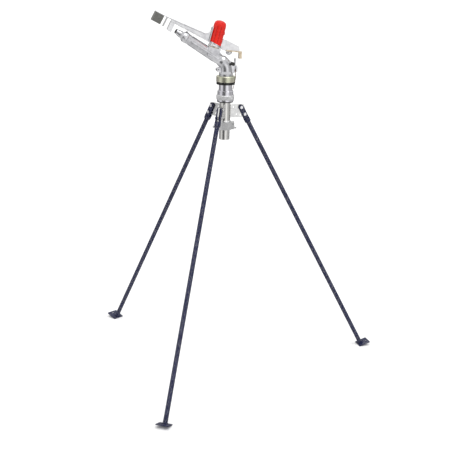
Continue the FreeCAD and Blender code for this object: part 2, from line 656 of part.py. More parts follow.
# ---------------------------------------------------------------- sleeve, rings and bearing
def make_swivel_base():
    gap, edge = dims.part_gap, dims.edge_break
    bore = dims.shaft_radius + dims.shaft_clearance
    mouth = dims.riser_high + 2
    turned("union_gasket", ring(dims.pipe_radius, dims.gasket_radius, dims.gasket_low, dims.gasket_high))
    turned("inlet_sleeve", [
        (dims.pipe_radius, dims.gasket_high), (dims.flange_radius, dims.gasket_high),
        (dims.flange_radius, dims.flange_high), (dims.sleeve_radius, dims.flange_high),
        (dims.sleeve_radius, dims.sleeve_step - edge), (dims.sleeve_radius - edge, dims.sleeve_step),
        (dims.journal_radius, dims.sleeve_step), (dims.journal_radius, dims.journal_high),
        (bore, dims.journal_high), (bore, dims.chamber_high), (dims.chamber_radius, dims.chamber_high),
        (dims.chamber_radius, mouth), (dims.pipe_radius, mouth)])
    knurl = turned("knurled_ring", ring(dims.sleeve_radius, dims.knurl_radius, dims.flange_high,
                                        dims.knurl_high))
    radius = number(dims.knurl_radius)
    round_edges(knurl, circle_edges(knurl, lambda c: c.Radius > radius - NEAR), edge, "Chamfer")
    turned("thrust_washers", ring(dims.shaft_radius + gap, dims.chamber_radius - gap, dims.collar_high + gap,
                                  dims.chamber_high - gap))
    turned("swivel_shaft", [
        (dims.shaft_bore, dims.shaft_low), (dims.shaft_collar, dims.shaft_low),
        (dims.shaft_collar, dims.collar_high), (dims.shaft_radius, dims.collar_high),
        (dims.shaft_radius, dims.shaft_high), (dims.shaft_bore, dims.shaft_high)])
    roof = dims.housing_high - dims.housing_roof
    collar = dims.neck_radius + gap
    turned("bearing_housing", [
        (dims.journal_radius, dims.housing_low), (dims.housing_radius - edge, dims.housing_low),
        (dims.housing_radius, dims.housing_low + edge), (dims.housing_radius, dims.housing_high - edge),
        (dims.housing_radius - edge, dims.housing_high), (collar, dims.housing_high), (collar, roof),
        (dims.housing_cavity, roof), (dims.housing_cavity, dims.journal_high),
        (dims.journal_radius, dims.journal_high)])
    turned("thrust_bearing", ring(dims.shaft_radius + gap, dims.bearing_radius, dims.journal_high,
                                  dims.bearing_high))
    turned("dust_seal", ring(collar, dims.housing_cavity, roof - dims.seal_height, roof))


def make_stop_ring(name, low, azimuth, drop):
    """A spring-steel stop ring with a tail that hangs beside the sleeve for the trip wire to meet."""
    inside, outside = dims.tail_inside, dims.tail_outside
    body = turned(name, ring(dims.journal_radius + dims.part_gap, dims.stop_radius, low,
                             low + dims.stop_height))
    root = dims.stop_radius - dims.edge_break
    pad_outline(body, [(root, low + 1), (outside, low + 1), (outside, low + 5), (root, low + 5)],
                dims.stop_tail)
    pad_outline(body, [(inside, low + 5), (inside, low - drop), (outside, low - drop), (outside, low + 5)],
                dims.stop_tail)
    body.Placement = FreeCAD.Placement(V(), FreeCAD.Rotation(Z_AXIS, azimuth))


# ---------------------------------------------------------------- gun casting
def make_gun_body():
    body = new_body("gun_body")
    neck, level, bend = dims.neck_radius, dims.elbow_level, dims.bend_radius
    turn_angle = 90 - dims.barrel_rise
    tangent = bend * math.tan(math.radians(number(turn_angle)) / 2)
    bend_start = level - tangent
    turn_profile(body, [(0, dims.neck_low), (neck, dims.neck_low), (neck, dims.housing_high + 10),
                        (dims.elbow_radius, dims.housing_high + 22), (dims.elbow_radius, bend_start),
                        (0, bend_start)])
    sketch = new_sketch(body, "XY_Plane", lift=bend_start)
    add_circle(sketch, 0, 0, dims.elbow_radius)
    add_construction_line(sketch, bend)
    feature(body, "Revolution", sketch, axis="Axis0", Angle=turn_angle)
    turn_profile(body, [(0, tangent), (dims.elbow_radius, tangent), (dims.barrel_root, tangent + 12),
                        (dims.barrel_tip, dims.nut_start - 2), (dims.barrel_tip, dims.barrel_end),
                        (0, dims.barrel_end)], **barrel_frame)
    pad_outline(body, BACK_PAD, dims.bracket_width + 6)
    pad_outline(body, BEND_GUSSET, 9)
    # ribs along the barrel: over it, under it and on both sides
    low, high = dims.rib_low, dims.rib_high
    root, crest, tip = dims.bore_radius + 1, dims.rib_crest, dims.rib_tip
    for sign in (1, -1):
        pad_outline(body, [(sign * root, low), (sign * crest, low), (sign * tip, high), (sign * root, high)],
                    dims.rib_plate, **barrel_frame)
    half = dims.rib_plate / 2
    start = low - 15
    strip = [(-half, start), (half, start), (half, high), (-half, high)]
    pad_outline(body, strip, crest + tip, **barrel_frame)
    # post for the arm's pivot
    front, back, top = dims.post_front, dims.post_back, dims.post_top
    pad_outline(body, [(-back, -8), (front - 4, -8), (front, top - 20), (front, top), (-back, top)],
                dims.post_width, **pivot_frame)
    # the face that the arm's washer turns on
    turn_profile(body, ring(0, front + 2, top, top + 8), "Groove", **pivot_frame)
    pad_outline(body, FRONT_LUG, dims.front_lug_width)
    # water way
    bore = dims.bore_radius
    turn_profile(body, ring(0, dims.shaft_radius, dims.neck_low - CUT_PAST, dims.shaft_high), "Groove")
    turn_profile(body, ring(0, bore, dims.shaft_high - CUT_PAST, bend_start), "Groove")
    sketch = new_sketch(body, "XY_Plane", lift=bend_start)
    add_circle(sketch, 0, 0, bore)
    add_construction_line(sketch, bend)
    feature(body, "Groove", sketch, axis="Axis0", Angle=turn_angle)
    turn_profile(body, ring(0, bore, tangent, dims.barrel_end + CUT_PAST), "Groove", **barrel_frame)
    # seats of the arm shaft and the bracket screws, and the hole of the front lug
    turn_profile(body, ring(0, dims.arm_shaft_radius, dims.arm_shaft_low, dims.post_top + CUT_PAST), "Groove",
                 **pivot_frame)
    sketch = new_sketch(body, "YZ_Plane", lift=-number(dims.pad_back) + 4)
    for side_sign in (1, -1):
        add_circle(sketch, side_sign * dims.screw_offset, dims.screw_level, dims.screw_radius)
    pocket(body, sketch, 10)
    cut_round(body, [FRONT_LUG_HOLE], dims.front_lug_width + CUT_PAST)


def make_barrel_parts():
    # straightening vanes inside the barrel: a cross of four blades in a thin ring
    vanes = new_body("stream_straightener")
    low, high, thin = dims.vanes_low, dims.vanes_high, dims.vane_plate
    turn_profile(vanes, ring(dims.bore_radius - thin, dims.bore_radius, low, high))
    blade = dims.bore_radius - thin / 2
    for plane in ("XZ_Plane", "YZ_Plane"):
        pad_outline(vanes, [(-blade, low), (blade, low), (blade, high), (-blade, high)], thin, plane=plane)
    start, end, tip = dims.nut_start, dims.nut_end, dims.barrel_tip
    inside, lip = dims.barrel_tip - 1, dims.nozzle_base - 1
    nut = turned("nozzle_nut", [
        (tip, start), (tip + 1.6, start), (tip + 1.6, start + 12), (dims.nut_radius, start + 15),
        (dims.nut_radius, end - 6), (dims.nut_radius - 3, end - 2), (lip + 1.6, end), (lip, end),
        (lip, end - 6), (inside, end - 6), (inside, dims.barrel_end), (tip, dims.barrel_end)])
    pad_outline(nut, NUT_EAR, dims.rib_plate)
    nozzle = new_body("nozzle")
    mouth, bore, top = dims.nozzle_tip_radius, dims.nozzle_bore, dims.nozzle_end
    turn_profile(nozzle, [
        (dims.bore_radius - 1, dims.barrel_end), (inside, dims.barrel_end), (inside, end - 6), (lip, end - 6),
        (lip, end), (mouth + 0.8, top - 4), (mouth, top), (bore, top), (bore, top - dims.insert_length),
        (bore + 5, end)])
    # wrench flats on the cone
    flat = dims.nozzle_flat
    for step in range(6):
        sketch = new_sketch(nozzle, "XY_Plane", lift=end + 1, turn=60 * step)
        add_polygon(sketch, [(flat, -flat), (2 * flat, -flat), (2 * flat, flat), (flat, flat)])
        pocket(nozzle, sketch, flat, symmetric=False, reverse=True)
    # the ring at the mouth that sets the jet's size
    lip, rim = dims.insert_lip, top + dims.insert_rim
    inner, low = dims.insert_bore, top - dims.insert_length
    turned("nozzle_insert", [(inner, low), (bore, low), (bore, top), (lip, top), (lip, rim), (inner, rim)])
    put(barrel_place, "stream_straightener", "nozzle_nut", "nozzle", "nozzle_insert")


def make_arm_shaft():
    radius, top, seat = dims.arm_shaft_radius, dims.arm_shaft_high, dims.spring_seat_high
    turned("arm_shaft", [(0, dims.arm_shaft_low), (radius, dims.arm_shaft_low), (radius, top - 1.5),
                         (radius - 1.5, top), (0, top)])
    turned("pivot_washer", ring(radius, dims.washer_radius, dims.post_top, dims.post_top + 2))
    turned("spring_seat", ring(radius, 18, dims.spring_high, seat))
    block = hex_prism("shaft_nut_block", dims.shaft_nut_flats, dims.shaft_nut_height)
    bore = primitive("Cylinder", "shaft_nut_bore", Radius=radius, Height=dims.shaft_nut_height + 2 * CUT_PAST)
    bore.Placement.Base = V(0, 0, -CUT_PAST)
    cut = doc.addObject("Part::Cut", "shaft_nut")
    cut.Base = block
    cut.Tool = bore
    cut.Label = "shaft_nut"
    nodes["shaft_nut"] = cut
    put(pivot_place, "arm_shaft", "pivot_washer", "spring_seat")
    cut.Placement = pivot_place * FreeCAD.Placement(V(0, 0, number(seat)), FreeCAD.Rotation())


# ---------------------------------------------------------------- impact arm
def make_arm():
    body = new_body("impact_arm")
    pad_outline(body, ARM_WEB, dims.web_plate, **arm_frame)
    pad_outline(body, ARM_LOWER_FLANGE, dims.flange_plate, **arm_frame)
    pad_outline(body, ARM_UPPER_FLANGE, dims.flange_plate, **arm_frame)
    pad_outline(body, ARM_TAIL, dims.tail_plate, **arm_frame)
    # upright that guards the spring cover's front
    pad_outline(body, GUARD_PLATE, dims.guard_width, **pivot_frame)
    pad_outline(body, GUARD_WEB, dims.web_plate, **pivot_frame)
    # hub, and on it the spring's seat inside the cover
    disc_high = dims.cover_low - dims.part_gap
    turn_profile(body, [(0, dims.hub_low), (dims.hub_disc, dims.hub_low), (dims.hub_disc, disc_high),
                        (dims.seat_radius, disc_high), (dims.seat_radius, dims.seat_high),
                        (dims.hub_radius, dims.seat_high), (dims.hub_radius, dims.hub_high),
                        (0, dims.hub_high)], **pivot_frame)
    turn_profile(body, ring(0, dims.arm_bush_radius, dims.hub_low - 8, dims.hub_high + CUT_PAST), "Groove",
                 **pivot_frame)
    # room for the cover and the spring above the seat
    room = ring(dims.hub_radius, dims.cover_radius + dims.part_gap, dims.seat_high, dims.spring_high)
    turn_profile(body, room, "Groove", **pivot_frame)


def make_arm_pieces():
    for name, outline, width in (("deflector_block", BLOCK, dims.block_width),
                                 ("guide_vane", GUIDE_VANE, dims.guide_width),
                                 ("drive_vane", DRIVE_VANE, dims.drive_width)):
        pad_outline(new_body(name), outline, width, **arm_frame)
    inner, outer = dims.arm_shaft_radius + dims.shaft_clearance, dims.arm_bush_radius
    middle = (dims.hub_low + dims.hub_high) / 2
    turned("lower_arm_bush", ring(inner, outer, dims.hub_low, middle - 1))
    turned("upper_arm_bush", ring(inner, outer, middle + 1, dims.hub_high))
    put(pivot_place, "lower_arm_bush", "upper_arm_bush")
    cover = turned("spring_cover", cover_profile())
    pad_outline(cover, COVER_BUMP, dims.bump_width)
    cut_outline(cover, COVER_SKIRT, 60)
    cut_outline(cover, COVER_TAIL_SLOT, dims.tail_plate + 2 * dims.part_gap)
    flutes = []
    reach = dims.flute_reach
    for step in range(FLUTES):
        angle = 2 * math.pi * (step + 0.5) / FLUTES
        flutes.append((reach * math.cos(angle), reach * math.sin(angle), dims.flute_radius))
    cut_round(cover, flutes, dims.flute_length, plane="XY_Plane", lift=dims.flute_middle)
    cover.Placement = pivot_place
    # the bronze strip with its hook under the tail, and the striker boss below it
    boss = turned("striker_boss", STRIKER)
    boss.Placement = gun_place * FreeCAD.Placement(V(-number(dims.striker_back), 0, 0), FreeCAD.Rotation())
    pad_outline(new_body("tail_hook"), TAIL_HOOK, dims.hook_width)


def cover_profile():
    """Half section of the domed spring cover in the pivot's frame."""
    outer = dims.cover_radius
    inner = dims.cover_radius - dims.cover_wall
    top, shoulder = dims.cover_top, dims.cover_top - dims.cover_radius
    points = [(inner, dims.cover_low), (outer, dims.cover_low), (outer, shoulder)]
    points += [(outer * share, top - drop) for share, drop in COVER_DOME]
    points += [(0, top), (0, top - dims.cover_wall)]
    points += [(inner * share, top - dims.cover_wall - drop) for share, drop in reversed(COVER_DOME)]
    points += [(inner, shoulder)]
    return points


def make_spring():
    turns, radius, wire = number(dims.spring_turns), number(dims.spring_radius), number(dims.spring_wire)
    room = wire + 0.2
    low, high = number(dims.seat_high) + room, number(dims.spring_high) - room
    helix = Part.makeHelix((high - low) / turns, high - low, radius)
    section = Part.Wire(Part.makeCircle(wire, V(radius, 0, 0), Y_AXIS))
    coil = doc.addObject("Part::Feature", "arm_spring")
    coil.Shape = Part.Wire(helix.Edges).makePipeShell([section], True, True)
    coil.Label = "arm_spring"
    nodes["arm_spring"] = coil
    coil.Placement = pivot_place * FreeCAD.Placement(V(0, 0, low), FreeCAD.Rotation())


# ---------------------------------------------------------------- reversing gear
def make_reversing_gear():
    middle = dims.lever_back + dims.lever_plate / 2
    level = dims.trip_pin_level
    back = number(dims.pad_back)
    bracket = new_body("reversing_bracket")
    pad_outline(bracket, BRACKET, dims.bracket_width)
    sketch = new_sketch(bracket, "YZ_Plane", lift=-middle)
    add_circle(sketch, 0, level, dims.trip_pin_radius)
    pocket(bracket, sketch, 2 * dims.trip_pin_length)
    screws = []
    head_radius, head_height, flange = 4, 2.2, 2.7
    for side_sign in (1, -1):
        place = V(-back - flange, side_sign * number(dims.screw_offset), number(dims.screw_level))
        turn_profile(bracket, [(0, 0), (head_radius, 0), (dims.screw_radius, head_height),
                               (dims.screw_radius, flange + 0.8), (0, flange + 0.8)],
                     "Groove", plane="XY_Plane", shift=(place.x, place.y), lift=dims.screw_level, turn=-90)
        head = primitive("Cone", "screw_head",
                         Radius1=head_radius, Radius2=dims.screw_radius, Height=head_height)
        shank = primitive("Cylinder", "screw_shank", Radius=dims.screw_radius, Height=9)
        screw = fuse("bracket_screw", [head, shank])
        screw.Placement = gun_place * FreeCAD.Placement(place, FreeCAD.Rotation(Y_AXIS, 90))
        screws.append(screw)
    group("bracket_screws", screws)
    pin = primitive("Cylinder", "trip_pin", Radius=dims.trip_pin_radius, Height=dims.trip_pin_length)
    pin_start = V(-back - number(dims.trip_pin_length), 0, number(level))
    pin.Placement = gun_place * FreeCAD.Placement(pin_start, FreeCAD.Rotation(Y_AXIS, 90))
    nodes["trip_pin"] = pin
    knob = turned("spring_knob", KNOB_PROFILE)
    knob.Placement = gun_place * FreeCAD.Placement(V(*KNOB_PLACE), FreeCAD.Rotation(X_AXIS, -90))
    lever = new_body("reversing_lever")
    sketch = new_sketch(lever, "YZ_Plane", lift=-middle)
    half_outline = [(y, level + up) for y, up in LEVER_HALF]
    add_polygon(sketch, half_outline + [(-y, z) for y, z in reversed(half_outline)])
    pad(lever, sketch, dims.lever_plate - 0.4)
    sketch = new_sketch(lever, "YZ_Plane", lift=-middle)
    add_circle(sketch, 0, level, dims.trip_pin_radius + dims.shaft_clearance)
    pocket(lever, sketch, dims.lever_plate + CUT_PAST)
    wire_start = WIRE_POINTS[0]
    cut_round(lever, [(wire_start[0], wire_start[2], dims.trip_wire)], 30)
    put(gun_place, "reversing_bracket")
    wire = wire_along("trip_wire", [V(*point) for point in WIRE_POINTS], number(dims.trip_wire), 3)
    wire.Label = "trip_wire"
    nodes["trip_wire"] = wire
    # the lever rests thrown to one side about its pin
    tilt = FreeCAD.Placement(V(), FreeCAD.Rotation(X_AXIS, -number(dims.trip_tilt)), V(0, 0, number(level)))
    put(gun_place * tilt, "reversing_lever", "trip_wire")


make_riser()
make_coupler()
make_cam_lever("right_cam_lever", 0)
make_cam_lever("left_cam_lever", 180)
pivot_bolts, pivot_nuts = [], []
for side, azimuth_size in (("front", dims.front_azimuth), ("left", dims.left_azimuth),
                           ("right", dims.right_azimuth)):
    side_azimuth = number(azimuth_size)
    make_lug_plate(side + "_lug_plate", side_azimuth)
    one_bolt, one_nut = make_leg(side, side_azimuth)
    pivot_bolts.append(one_bolt)
    pivot_nuts.append(one_nut)
    make_foot(side + "_foot_plate", side_azimuth)
group("pivot_bolts", pivot_bolts)
group("pivot_nuts", pivot_nuts)
make_swivel_base()
make_stop_ring("lower_stop_ring", dims.lower_stop_low, number(dims.lower_stop_azimuth), 14)
make_stop_ring("upper_stop_ring", dims.upper_stop_low, number(dims.upper_stop_azimuth), 20)
make_gun_body()
make_barrel_parts()
make_arm_shaft()
make_arm()
make_arm_pieces()
make_spring()
make_reversing_gear()
put(gun_place, "gun_body", "impact_arm", "deflector_block", "guide_vane", "drive_vane", "tail_hook")

doc.recompute()
failed = [obj.Label for obj in doc.Objects if {"Invalid", "Error"} & set(obj.State)]
bad = [name for name, obj in nodes.items() if obj.Shape.isNull() or not obj.Shape.isValid()]
if failed or bad:
    raise RuntimeError("failed %s, bad shapes %s" % (failed, bad))
os.makedirs("parts", exist_ok=True)
for name, obj in nodes.items():
    obj.Shape.exportStep("parts/%s.step" % name)
print(len(nodes), "sub-parts written")
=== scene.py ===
"""Looks of the impact sprinkler on its tripod: detailed pieces, materials, studio and camera."""
import bmesh
import bpy
import json
import math
from mathutils import Matrix, Vector


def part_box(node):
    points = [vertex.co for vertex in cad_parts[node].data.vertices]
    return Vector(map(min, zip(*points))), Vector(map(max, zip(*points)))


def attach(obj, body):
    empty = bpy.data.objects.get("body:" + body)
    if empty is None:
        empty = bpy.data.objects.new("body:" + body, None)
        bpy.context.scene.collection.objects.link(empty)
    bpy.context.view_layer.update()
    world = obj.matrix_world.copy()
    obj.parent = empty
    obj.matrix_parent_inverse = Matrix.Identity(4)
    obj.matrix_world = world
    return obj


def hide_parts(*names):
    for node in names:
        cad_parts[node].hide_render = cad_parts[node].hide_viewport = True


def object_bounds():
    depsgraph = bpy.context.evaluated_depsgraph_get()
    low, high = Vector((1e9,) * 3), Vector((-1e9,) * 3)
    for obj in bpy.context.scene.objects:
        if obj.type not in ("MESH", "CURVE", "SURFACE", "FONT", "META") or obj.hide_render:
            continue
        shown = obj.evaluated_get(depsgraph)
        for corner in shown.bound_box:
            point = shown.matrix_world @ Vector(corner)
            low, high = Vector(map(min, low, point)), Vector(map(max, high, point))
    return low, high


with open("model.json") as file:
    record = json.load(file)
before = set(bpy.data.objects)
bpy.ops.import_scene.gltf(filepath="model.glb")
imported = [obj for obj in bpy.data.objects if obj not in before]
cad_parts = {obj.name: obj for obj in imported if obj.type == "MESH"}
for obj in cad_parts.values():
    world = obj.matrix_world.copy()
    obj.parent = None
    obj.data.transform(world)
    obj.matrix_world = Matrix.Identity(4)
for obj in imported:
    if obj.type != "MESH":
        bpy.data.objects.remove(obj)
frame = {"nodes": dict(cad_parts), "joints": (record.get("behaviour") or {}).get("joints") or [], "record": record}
CAD_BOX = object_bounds()
MM = 0.001
NODES = frame["nodes"]
JOINTS = {joint["name"]: joint for joint in frame["joints"]}
BODY_OF = {node: body for body, members in frame["record"]["behaviour"]["bodies"].items() for node in members}
SLOT_OF = {part["node"]: part["material_slot"] for part in frame["record"]["subparts"]}
LEGS = ("front", "left", "right")

# ---------------------------------------------------------------- frames taken from the joints
HEADING = Vector(JOINTS["reversing_throw"]["axis"])
PIVOT = Vector(JOINTS["arm_swing"]["pos_m"])
PIVOT_AXIS = Vector(JOINTS["arm_swing"]["axis"]).normalized()


def frame_matrix(origin, z_axis, x_hint):
    """A matrix with its origin at a point, +Z along z_axis and +X as near x_hint as it can be."""
    z = Vector(z_axis).normalized()
    x = Vector(x_hint)
    x = (x - z * x.dot(z)).normalized()
    y = z.cross(x)
    return Matrix.Translation(origin) @ Matrix((x, y, z)).transposed().to_4x4()


ARM_RISE = math.radians(27.8)
ARM_ALONG = HEADING * math.cos(ARM_RISE) + Vector((0, 0, math.sin(ARM_RISE)))
ARM_UP = -HEADING * math.sin(ARM_RISE) + Vector((0, 0, math.cos(ARM_RISE)))
ARM_LEVEL = 48
ARM_CENTRE = PIVOT + PIVOT_AXIS * ARM_LEVEL * MM
ARM = frame_matrix(ARM_CENTRE, ARM_UP, ARM_ALONG)
LEG_LEAN = math.radians(28.7)


def leg_plane(leg, lean=0.0):
    """A leg's frame at its pivot: +X outward, +Z up, tipped by the leg's lean."""
    joint = JOINTS[leg + "_leg_fold"]
    outward = Vector(joint["axis"]).cross(Vector((0, 0, 1)))
    up = Vector((0, 0, math.cos(lean))) - outward * math.sin(lean)
    return frame_matrix(Vector(joint["pos_m"]), up, outward)


# ---------------------------------------------------------------- materials
class Shader:
    """A Principled material and short calls that wire procedural patterns into it."""

    def __init__(self, name, **sockets):
        self.material = bpy.data.materials.new(name)
        self.material.use_nodes = True
        self.tree = self.material.node_tree
        self.bsdf = self.tree.nodes["Principled BSDF"]
        for socket, value in sockets.items():
            self.bsdf.inputs[socket.replace("_", " ")].default_value = value
        self.coords = self.tree.nodes.new("ShaderNodeTexCoord")

    def link(self, source, target):
        self.tree.links.new(source, target)

    def mapped(self, stretch):
        mapping = self.tree.nodes.new("ShaderNodeMapping")
        mapping.inputs["Scale"].default_value = stretch
        self.link(self.coords.outputs["Object"], mapping.inputs["Vector"])
        return mapping.outputs["Vector"]

    def noise(self, scale, detail=4.0, roughness=0.55, stretch=(1, 1, 1)):
        node = self.tree.nodes.new("ShaderNodeTexNoise")
        node.inputs["Scale"].default_value = scale
        node.inputs["Detail"].default_value = detail
        node.inputs["Roughness"].default_value = roughness
        self.link(self.mapped(stretch), node.inputs["Vector"])
        return node.outputs["Fac"]

    def cells(self, scale, stretch=(1, 1, 1)):
        node = self.tree.nodes.new("ShaderNodeTexVoronoi")
        node.feature = "SMOOTH_F1"
        node.inputs["Scale"].default_value = scale
        self.link(self.mapped(stretch), node.inputs["Vector"])
        return node.outputs["Distance"]

    def edges(self, low=0.52, high=0.6):
        geometry = self.tree.nodes.new("ShaderNodeNewGeometry")
        return self.span(geometry.outputs["Pointiness"], low, high, 0, 1)

    def hollows(self, low=0.42, high=0.495):
        """1 in the inner corners, 0 elsewhere: the mask where shade is painted."""
        geometry = self.tree.nodes.new("ShaderNodeNewGeometry")
        return self.span(geometry.outputs["Pointiness"], low, high, 1, 0)

    def paint_hollow_shade(self, strength, dark=(0.05, 0.05, 0.055)):
        # painted shade: mixes the base colour toward a dark shade colour in the inner corners
        base = self.bsdf.inputs["Base Color"].links[0].from_socket
        self.colour(self.mix(self.multiply(self.hollows(), strength), base, dark))

    def span(self, source, low, high, to_low, to_high):
        node = self.tree.nodes.new("ShaderNodeMapRange")
        for socket, value in (("From Min", low), ("From Max", high), ("To Min", to_low), ("To Max", to_high)):
            node.inputs[socket].default_value = value
        self.link(source, node.inputs["Value"])
        return node.outputs["Result"]

    def mix(self, factor, first, second):
        """A colour mix; first and second are colours or sockets."""
        node = self.tree.nodes.new("ShaderNodeMix")
        node.data_type = "RGBA"
        self.link(factor, node.inputs["Factor"])
        for socket, value in (("A", first), ("B", second)):
            target = [i for i in node.inputs if i.name == socket and i.type == "RGBA"][0]
            if isinstance(value, (tuple, list)):
                target.default_value = (*value[:3], 1)
            else:
                self.link(value, target)
        return [o for o in node.outputs if o.type == "RGBA"][0]

    def multiply(self, first, second):
        node = self.tree.nodes.new("ShaderNodeMath")
        node.operation = "MULTIPLY"
        self.link(first, node.inputs[0])
        if isinstance(second, float):
            node.inputs[1].default_value = second
        else:
            self.link(second, node.inputs[1])
        return node.outputs[0]

    def colour(self, socket):
        self.link(socket, self.bsdf.inputs["Base Color"])

    def roughness(self, socket):
        self.link(socket, self.bsdf.inputs["Roughness"])

    def bump(self, height, distance, strength=1.0):
        node = self.tree.nodes.new("ShaderNodeBump")
        node.inputs["Distance"].default_value = distance
        node.inputs["Strength"].default_value = strength
        self.link(height, node.inputs["Height"])
        previous = self.bsdf.inputs["Normal"].links
        if previous:
            self.link(previous[0].from_socket, node.inputs["Normal"])
        self.link(node.outputs["Normal"], self.bsdf.inputs["Normal"])


def metal(name, light, dark, rough=(0.2, 0.35), patch=60, grain=900, depth=0.02, stretch=(1, 1, 1)):
    """A metal whose colour and gloss drift in patches, with a fine grain; depth is in mm."""
    shader = Shader(name, Metallic=1.0)
    drift = shader.noise(patch, 5, 0.6, stretch)
    even = shader.span(drift, 0.3, 0.7, 0, 1)
    shader.colour(shader.mix(even, dark, light))
    shader.roughness(shader.span(drift, 0.3, 0.7, rough[1], rough[0]))
    shader.bump(shader.noise(grain, 3, 0.6, stretch), depth * MM)
    return shader


# slot: name, light and dark colour, gloss from and to, patches and grain per metre, grain depth (mm), stretch
METALS = {
    "galvanised_steel": ("zinc_pipe", (0.86, 0.85, 0.82), (0.66, 0.65, 0.62), (0.12, 0.26),
                         45, 1500, 0.012, (1, 1, 0.08)),
    "zinc_plate": ("zinc_plate", (0.88, 0.88, 0.86), (0.66, 0.66, 0.66), (0.2, 0.36),
                   90, 1300, 0.02, (1, 1, 0.6)),
    "bright_zinc": ("bright_zinc", (0.93, 0.93, 0.94), (0.74, 0.74, 0.76), (0.1, 0.2), 200, 2500, 0.006),
    "chrome_plate": ("chrome_sleeve", (0.86, 0.85, 0.88), (0.68, 0.67, 0.72), (0.06, 0.16),
                     50, 1600, 0.006, (1, 1, 0.4)),
    "coupler_zinc": ("coupler_zinc", (0.94, 0.94, 0.94), (0.72, 0.72, 0.72), (0.3, 0.46), 70, 1300, 0.02),
    "stainless": ("stainless", (0.74, 0.74, 0.75), (0.56, 0.56, 0.58), (0.2, 0.34), 120, 1800, 0.008),
    "machined_aluminium": ("machined_aluminium", (0.82, 0.82, 0.82), (0.62, 0.62, 0.63), (0.26, 0.4),
                           140, 2200, 0.015, (1, 1, 3)),
    "bearing_steel": ("bearing_steel", (0.6, 0.6, 0.62), (0.5, 0.5, 0.52), (0.15, 0.25), 100),
    "brass": ("brass", (0.83, 0.66, 0.34), (0.6, 0.44, 0.2), (0.18, 0.34), 130, 1500, 0.01),
    "bronze_strip": ("bronze_strip", (0.86, 0.74, 0.55), (0.56, 0.44, 0.30), (0.3, 0.5), 90, 900, 0.02),
    "copper_wire": ("copper_wire", (0.36, 0.21, 0.12), (0.16, 0.10, 0.06), (0.3, 0.45), 250, 2000, 0.01),
    "spring_steel": ("spring_steel", (0.3, 0.29, 0.28), (0.14, 0.13, 0.13), (0.25, 0.4), 200, 1500, 0.01),
    "black_steel": ("black_oxide", (0.09, 0.09, 0.09), (0.03, 0.03, 0.03), (0.28, 0.42), 120, 1200, 0.015),
    "cast_aluminium": ("cast_aluminium", (0.78, 0.78, 0.80), (0.50, 0.50, 0.52), (0.14, 0.28), 38, 420, 0.05),
    "cast_arm": ("cast_arm", (0.92, 0.92, 0.92), (0.68, 0.68, 0.70), (0.24, 0.4), 45, 500, 0.05),
    "olive_zinc": ("olive_zinc", (0.80, 0.82, 0.64), (0.60, 0.63, 0.44), (0.22, 0.38), 30, 1200, 0.015),
}


def make_materials():
    made = {slot: metal(*values) for slot, values in METALS.items()}
    # painted shade: the coupler zinc darkened in its inner corners
    made["coupler_zinc"].paint_hollow_shade(0.7)
    cast = made["cast_aluminium"]
    cast.bump(cast.cells(160), 0.06 * MM, 0.6)
    # painted shade: the cast aluminium darkened in its inner corners
    cast.paint_hollow_shade(0.8)
    arm = made["cast_arm"]
    arm.bump(arm.cells(230), 0.12 * MM, 0.9)
    # painted shade: the arm casting darkened in its inner corners
    arm.paint_hollow_shade(0.8)

    olive = made["olive_zinc"]
    sheen = olive.span(olive.noise(22, 3), 0.42, 0.64, 0, 1)
    base = olive.bsdf.inputs["Base Color"].links[0].from_socket
    olive.colour(olive.mix(olive.multiply(sheen, 0.55), base, (0.74, 0.66, 0.58)))

    navy = Shader("navy_paint", Metallic=0.0, Specular_IOR_Level=0.22, IOR=1.45)
    patch = navy.span(navy.noise(26, 5), 0.3, 0.7, 0, 1)
    paint = navy.mix(patch, (0.004, 0.007, 0.040), (0.008, 0.013, 0.058))
    chips = navy.multiply(navy.edges(0.53, 0.62), navy.span(navy.noise(420, 4), 0.56, 0.62, 0, 1))
    navy.colour(navy.mix(chips, paint, (0.28, 0.27, 0.27)))
    navy.roughness(navy.span(navy.noise(60, 5), 0.3, 0.7, 0.26, 0.42))
    navy.bump(navy.noise(700, 2), 0.02 * MM)
    made["navy_paint"] = navy

    rubber = Shader("black_rubber", IOR=1.5)
    rubber.colour(rubber.mix(rubber.noise(80), (0.012, 0.012, 0.012), (0.035, 0.033, 0.03)))
    rubber.roughness(rubber.span(rubber.noise(200), 0.3, 0.7, 0.5, 0.72))
    rubber.bump(rubber.noise(1400, 3), 0.03 * MM)
    made["black_rubber"] = rubber

    grey = Shader("grey_casting", Metallic=0.35, IOR=1.5)
    speck = grey.span(grey.noise(900, 5, 0.7), 0.35, 0.68, 0, 1)
    grey.colour(grey.mix(speck, (0.10, 0.10, 0.095), (0.30, 0.30, 0.28)))
    grey.roughness(grey.span(grey.noise(300), 0.3, 0.7, 0.45, 0.65))
    grey.bump(grey.noise(1100, 4), 0.08 * MM)
    made["grey_block"] = grey

    red = Shader("red_plastic", Specular_IOR_Level=0.35, IOR=1.5)
    tone = red.span(red.noise(18, 3), 0.35, 0.65, 0, 1)
    red.colour(red.mix(tone, (0.60, 0.010, 0.004), (0.74, 0.016, 0.007)))
    # painted shade: the red plastic darkened in its grooves and inner corners
    red.paint_hollow_shade(0.4, (0.2, 0.003, 0.002))
    red.roughness(red.span(red.noise(120, 4), 0.3, 0.7, 0.2, 0.34))
    red.bump(red.noise(1200, 2), 0.012 * MM)
    made["red_plastic"] = red
    return {name: shader.material for name, shader in made.items()}


MATERIALS = make_materials()
# nodes that look unlike the rest of their slot
SPECIAL = {"impact_arm": "cast_arm", "striker_boss": "cast_arm", "drive_vane": "cast_arm",
           # painted light: guide_vane takes the brighter coupler zinc so that its shaded face reads lit
           "guide_vane": "coupler_zinc", "coupler_body": "coupler_zinc"}


def material_of(node):
    return MATERIALS[SPECIAL.get(node, SLOT_OF[node])]


# ---------------------------------------------------------------- mesh helpers
def smooth_by_angle(mesh, degrees=38):
    for polygon in mesh.polygons:
        polygon.use_smooth = True
    mesh.set_sharp_from_angle(angle=math.radians(degrees))


